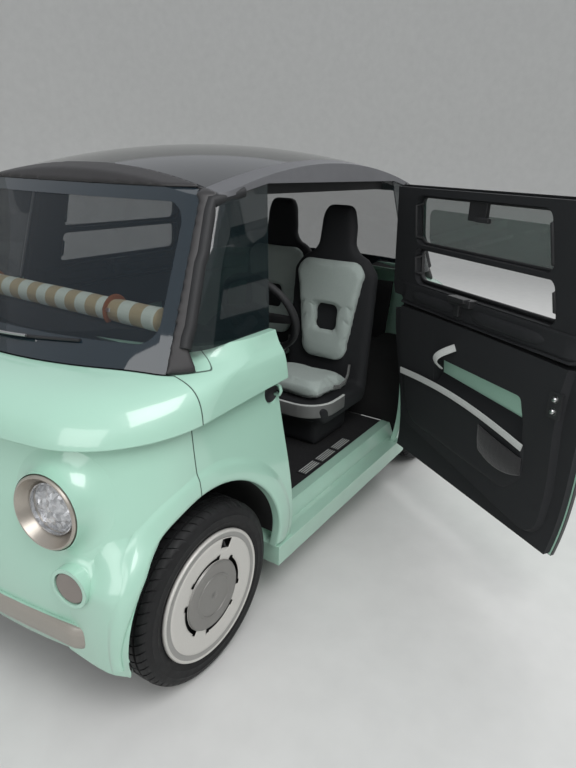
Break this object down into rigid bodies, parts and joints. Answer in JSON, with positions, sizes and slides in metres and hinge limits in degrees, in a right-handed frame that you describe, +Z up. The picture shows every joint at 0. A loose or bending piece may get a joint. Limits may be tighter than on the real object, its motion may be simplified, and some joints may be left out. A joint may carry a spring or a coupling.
{
  "type": "electric microcar",
  "caption": "Small two-seat electric city car with rounded ends, a glass roof, flap-window doors and covered wheels, its driver's door open.",
  "frame": {"origin": "on the ground at the middle of the footprint, open door and mirrors included", "axes": "+X forward, +Y to the car's left, +Z up"},
  "size_m": [2.5362, 2.2792, 1.5299],
  "materials": {
    "body_mint": "satin",
    "trim_black": "grained",
    "trim_umber": "satin",
    "case_grey": "satin",
    "steel_black": "satin",
    "rail_grey": "satin",
    "glass_tinted": "clear",
    "glass_dark": "tinted",
    "lamp_silver": "satin",
    "lens_clear": "clear",
    "lens_red": "clear",
    "lens_grey": "gloss",
    "bar_taupe": "satin",
    "roll_stripe": "woven",
    "seat_fabric": "woven",
    "tyre_rubber": "matte",
    "wheel_silver": "satin"
  },
  "bodies": {
    "car_body": {"chassis_frame": "steel_black", "floor_pan": "trim_black", "battery_pack": "case_grey", "drive_motor": "case_grey", "front_suspension": "steel_black", "rear_axle": "steel_black", "end_fascias": "body_mint", "corner_fenders": "body_mint", "sills": "body_mint", "wheel_arch_liners": "trim_black", "screen_surrounds": "trim_umber", "screens": "glass_tinted", "roof_rails": "rail_grey", "roof_glass": "glass_dark", "quarter_glasses": "glass_tinted", "lamp_bezels": "lamp_silver", "headlamps": "lens_clear", "tail_lamps": "lens_red", "turn_signals": "lens_grey", "bumper_bars": "bar_taupe", "dashboard": "trim_black", "dash_roll": "roll_stripe", "steering_column": "trim_black", "seat_shells": "trim_black", "seat_cushions": "seat_fabric", "seat_back_pads": "seat_fabric", "wiper": "trim_black"},
    "steering_wheel": {"steering_wheel": "trim_black"},
    "knuckle_left": {"knuckle_left": "steel_black"},
    "knuckle_right": {"knuckle_right": "steel_black"},
    "wheel_front_left": {"tyre_front_left": "tyre_rubber", "wheel_front_left": "wheel_silver"},
    "wheel_front_right": {"tyre_front_right": "tyre_rubber", "wheel_front_right": "wheel_silver"},
    "wheel_rear_left": {"tyre_rear_left": "tyre_rubber", "wheel_rear_left": "wheel_silver"},
    "wheel_rear_right": {"tyre_rear_right": "tyre_rubber", "wheel_rear_right": "wheel_silver"},
    "door_left": {"door_left_skin": "body_mint", "door_left_lining": "trim_black", "door_left_glass": "glass_tinted", "mirror_left": "trim_black"},
    "door_right": {"door_right_skin": "body_mint", "door_right_lining": "trim_black", "door_right_glass": "glass_tinted", "mirror_right": "trim_black"}
  },
  "joints": [
    {"name": "steer_left", "type": "hinge", "parent": "car_body", "child": "knuckle_left", "pos_m": [0.865, 0.14635, 0.2785], "axis": [0, 0, 1], "range_deg": [-30, 30]},
    {"name": "steer_right", "type": "hinge", "parent": "car_body", "child": "knuckle_right", "pos_m": [0.865, -0.92565, 0.2785], "axis": [0, 0, 1], "range_deg": [-30, 30]},
    {"name": "steering_wheel_turn", "type": "hinge", "parent": "car_body", "child": "steering_wheel", "pos_m": [0.13, -0.08965, 0.925], "axis": [-0.9063, 0, 0.4226], "range_deg": [-450, 450]},
    {"name": "spin_front_left", "type": "hinge", "parent": "knuckle_left", "child": "wheel_front_left", "pos_m": [0.865, 0.21335, 0.2785], "axis": [0, 1, 0], "continuous": true},
    {"name": "spin_front_right", "type": "hinge", "parent": "knuckle_right", "child": "wheel_front_right", "pos_m": [0.865, -0.99265, 0.2785], "axis": [0, 1, 0], "continuous": true},
    {"name": "spin_rear_left", "type": "hinge", "parent": "car_body", "child": "wheel_rear_left", "pos_m": [-0.865, 0.21335, 0.2785], "axis": [0, 1, 0], "continuous": true},
    {"name": "spin_rear_right", "type": "hinge", "parent": "car_body", "child": "wheel_rear_right", "pos_m": [-0.865, -0.99265, 0.2785], "axis": [0, 1, 0], "continuous": true},
    {"name": "swing_door_left", "type": "hinge", "parent": "car_body", "child": "door_left", "pos_m": [-0.484, 0.31435, 0.6], "axis": [0, 0, 1], "range_deg": [-57, 8]},
    {"name": "swing_door_right", "type": "hinge", "parent": "car_body", "child": "door_right", "pos_m": [0.484, -1.09365, 0.6], "axis": [0, 0, 1], "range_deg": [0, 65]}
  ],
  "couplings": [
    {"joint": "steer_right", "follows": "steer_left", "ratio": 1},
    {"joint": "steering_wheel_turn", "follows": "steer_left", "ratio": 15}
  ]
}
